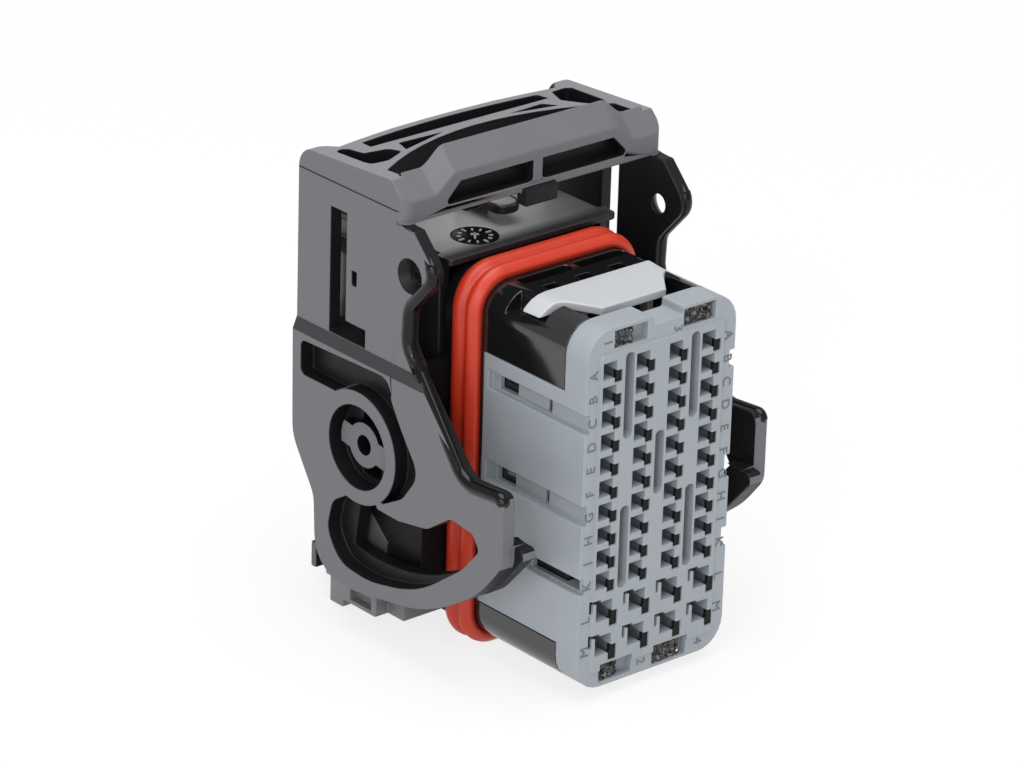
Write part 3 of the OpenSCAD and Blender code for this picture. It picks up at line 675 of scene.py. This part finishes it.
# Polished rim around the latch tongue, which stands up from it a little.
latch_x, latch_half = 0.0003, 0.0017
latch_tip, latch_root = 0.0282, 0.0345
latch_top = 0.02765
rim_r = 0.00022
latch_polish = plastic("latch_polished", (0.03, 0.03, 0.032), 0.12, grain=0.02, coat=0.5)
turn_steps = 12
path = [(latch_x - latch_half, latch_root, latch_top)]
for i in range(turn_steps + 1):
    angle = math.pi + math.pi * i / turn_steps
    path.append((
        latch_x + latch_half * math.cos(angle),
        latch_tip + latch_half + latch_half * math.sin(angle),
        latch_top,
    ))
path.append((latch_x + latch_half, latch_root, latch_top))
swept_bead("latch_rim", path, rim_r, latch_polish, "plug")

# Date dial in the cover's top: a polished black disc with a ring of raised marks that
# the moulder sets, and an arrow in the middle; the marks' pale grey is painted highlight.
dial_x, dial_y, dial_r = -0.0055, 0.0281, 0.0028
dial_top = deck_z - 0.00012
mark_rise = 0.00010
mark_count = 12
mark_in, mark_out, long_out = 0.0017, 0.0022, 0.0025
mark_half = 0.00011
arrow_turn = 0.9
arrow = (((-0.0009, -0.00012, 0.0), (0.0009, 0.00012, mark_rise)),
         ((0.0003, -0.0005, 0.0), (0.0006, 0.0005, mark_rise)))
dial_black = plastic("dial_black", (0.006, 0.006, 0.007), 0.12, grain=0.02)
# Pale grey of the marks and the arrow: painted highlight on the black dial.
dial_mark_highlight = plastic("dial_mark_highlight", (0.42, 0.43, 0.44), 0.3)
shape = bmesh.new()
disc_t = 0.0002
bmesh.ops.create_cone(
    shape, cap_ends=True, segments=64, radius1=dial_r, radius2=dial_r, depth=disc_t,
    matrix=Matrix.Translation((dial_x, dial_y, dial_top - disc_t / 2)),
)
finished_piece("date_dial", shape, dial_black, "plug")


def add_mark(shape, low, high, angle):
    """One raised bar of the dial, turned about the dial's middle."""
    first = len(shape.verts)
    add_box(shape, low, high)
    shape.verts.ensure_lookup_table()
    place = Matrix.Translation((dial_x, dial_y, dial_top)) @ Matrix.Rotation(angle, 4, "Z")
    bmesh.ops.transform(shape, matrix=place, verts=shape.verts[first:])


shape = bmesh.new()
for i in range(mark_count):
    outer = long_out if i % 3 == 0 else mark_out
    angle = 2 * math.pi * i / mark_count
    add_mark(shape, (mark_in, -mark_half, 0.0), (outer, mark_half, mark_rise), angle)
for low, high in arrow:
    add_mark(shape, low, high, arrow_turn)
finished_piece("dial_marks", shape, dial_mark_highlight, "plug")

# ---- Lever ---------------------------------------------------------------------------
# Black bail that turns on the housing's pivots and draws the plug into its header with
# the cam grooves in its arms. Its outer faces are grained, and its rims are polished.

lever_grain = plastic("lever_black", (0.125, 0.128, 0.139), 0.5, grain=0.35)
# A paler copy of the lever plastic for the bar's top: painted light from above.
lever_top_light = plastic("lever_top_light", (0.20, 0.205, 0.22), 0.42, grain=0.3)
lever_step = plastic("lever_step", (0.030, 0.031, 0.034), 0.7, grain=0.5)
# Smooth black of the inner faces and rims, made much darker than the grained outside as painted
# shade.
lever_inner_shade = plastic("lever_inner_shade", (0.009, 0.009, 0.010), 0.4, grain=0.05, shine=0.2)

pivot_y = 0.0307
pivot_z = 0.0006
arm_out = 0.02105
upper_out = 0.0204
bar_low = 0.0312
bar_front = 0.0236
arm_front = 0.0040
seam_z = (0.0326, 0.0330)
slope_z = (0.0118, 0.0135)
skin_x = 0.0202                        # the arms' outer faces lie outside this
corner_x = 0.0185
face_reach = 0.0001
top_rise = 0.0035                      # the cross bar's top lies this far above its bottom
edge_r, seam_r = 0.00025, 0.00003


def lever_edge(edge, place):
    """Radius of one of the lever's edges: the thin mould seam stays crisp."""
    on_seam = abs(place.x) > skin_x and seam_z[0] < place.z < seam_z[1]
    return seam_r if on_seam else edge_r


def lever_face(face):
    """Grained outside, dull on the slope between the arm's two levels, black inside and
    darkened there as painted shade, and paler on the bar's top as painted light from above."""
    middle = face.calc_center_median()
    turn = face.normal
    outward = turn.x * middle.x > 0
    on_skin = outward and abs(middle.x) > skin_x
    if on_skin and turn.z > 0.3 and slope_z[0] < middle.z < slope_z[1]:
        return 1
    if on_skin and abs(turn.x) > 0.85:
        return 0
    if turn.z > 0.9 and middle.z > bar_low + top_rise:
        return 3
    bar_face = turn.y < -0.9 and middle.y < bar_front + face_reach
    bar_slope = turn.y < -0.5 and turn.z > 0.5
    bar_corner = turn.y < -0.1 and outward and abs(middle.x) > corner_x
    if middle.z > bar_low and (bar_face or bar_slope or bar_corner or turn.y > 0.5):
        return 0
    arm_back = turn.y > 0.3 and middle.y > pivot_y
    arm_end = turn.y < -0.9 and middle.y < arm_front
    return 0 if arm_back or arm_end else 2


lever = moulded(
    "lever", "lever_bail", [lever_grain, lever_step, lever_inner_shade, lever_top_light],
    radius=edge_r, rule=lever_edge, face_rule=lever_face,
)
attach(lever, "lever")

# Polished bead along the front edge of each arm. Corners are (back, up, radius) from the
# pivot, and the bead runs a little inside them.
bead_r = 0.00085
bead_inset = 0.0006
bead_corners = [(-9.3, 30.3, 0), (-13.6, 25.9, 2.6), (-8.5, 20.3, 2.5), (-8.3, 15.8, 3),
                (-10.6, 13.2, 3), (-20.0, 2.8, 3.5), (-27.0, 3.4, 1.3), (-27.0, 1.0, 0)]

lever_polish = plastic("lever_polished", (0.004, 0.004, 0.0045), 0.09, grain=0.01, shine=0.3)
outline = rounded_path(bead_corners)
for side, name in ((-1, "left_bead"), (1, "right_bead")):
    path = []
    for i, spot in enumerate(outline):
        ahead = outline[min(i + 1, len(outline) - 1)] - outline[max(i - 1, 0)]
        inward = Vector((-ahead.y, ahead.x)).normalized() * bead_inset
        back, up = spot + inward
        rise = min(1.0, max(0.0, (up + pivot_z - slope_z[0]) / (slope_z[1] - slope_z[0])))
        outer = arm_out + (upper_out - arm_out) * rise
        path.append((side * (outer - bead_inset), pivot_y + back, pivot_z + up))
    swept_bead(name, path, bead_r, lever_polish, "lever")
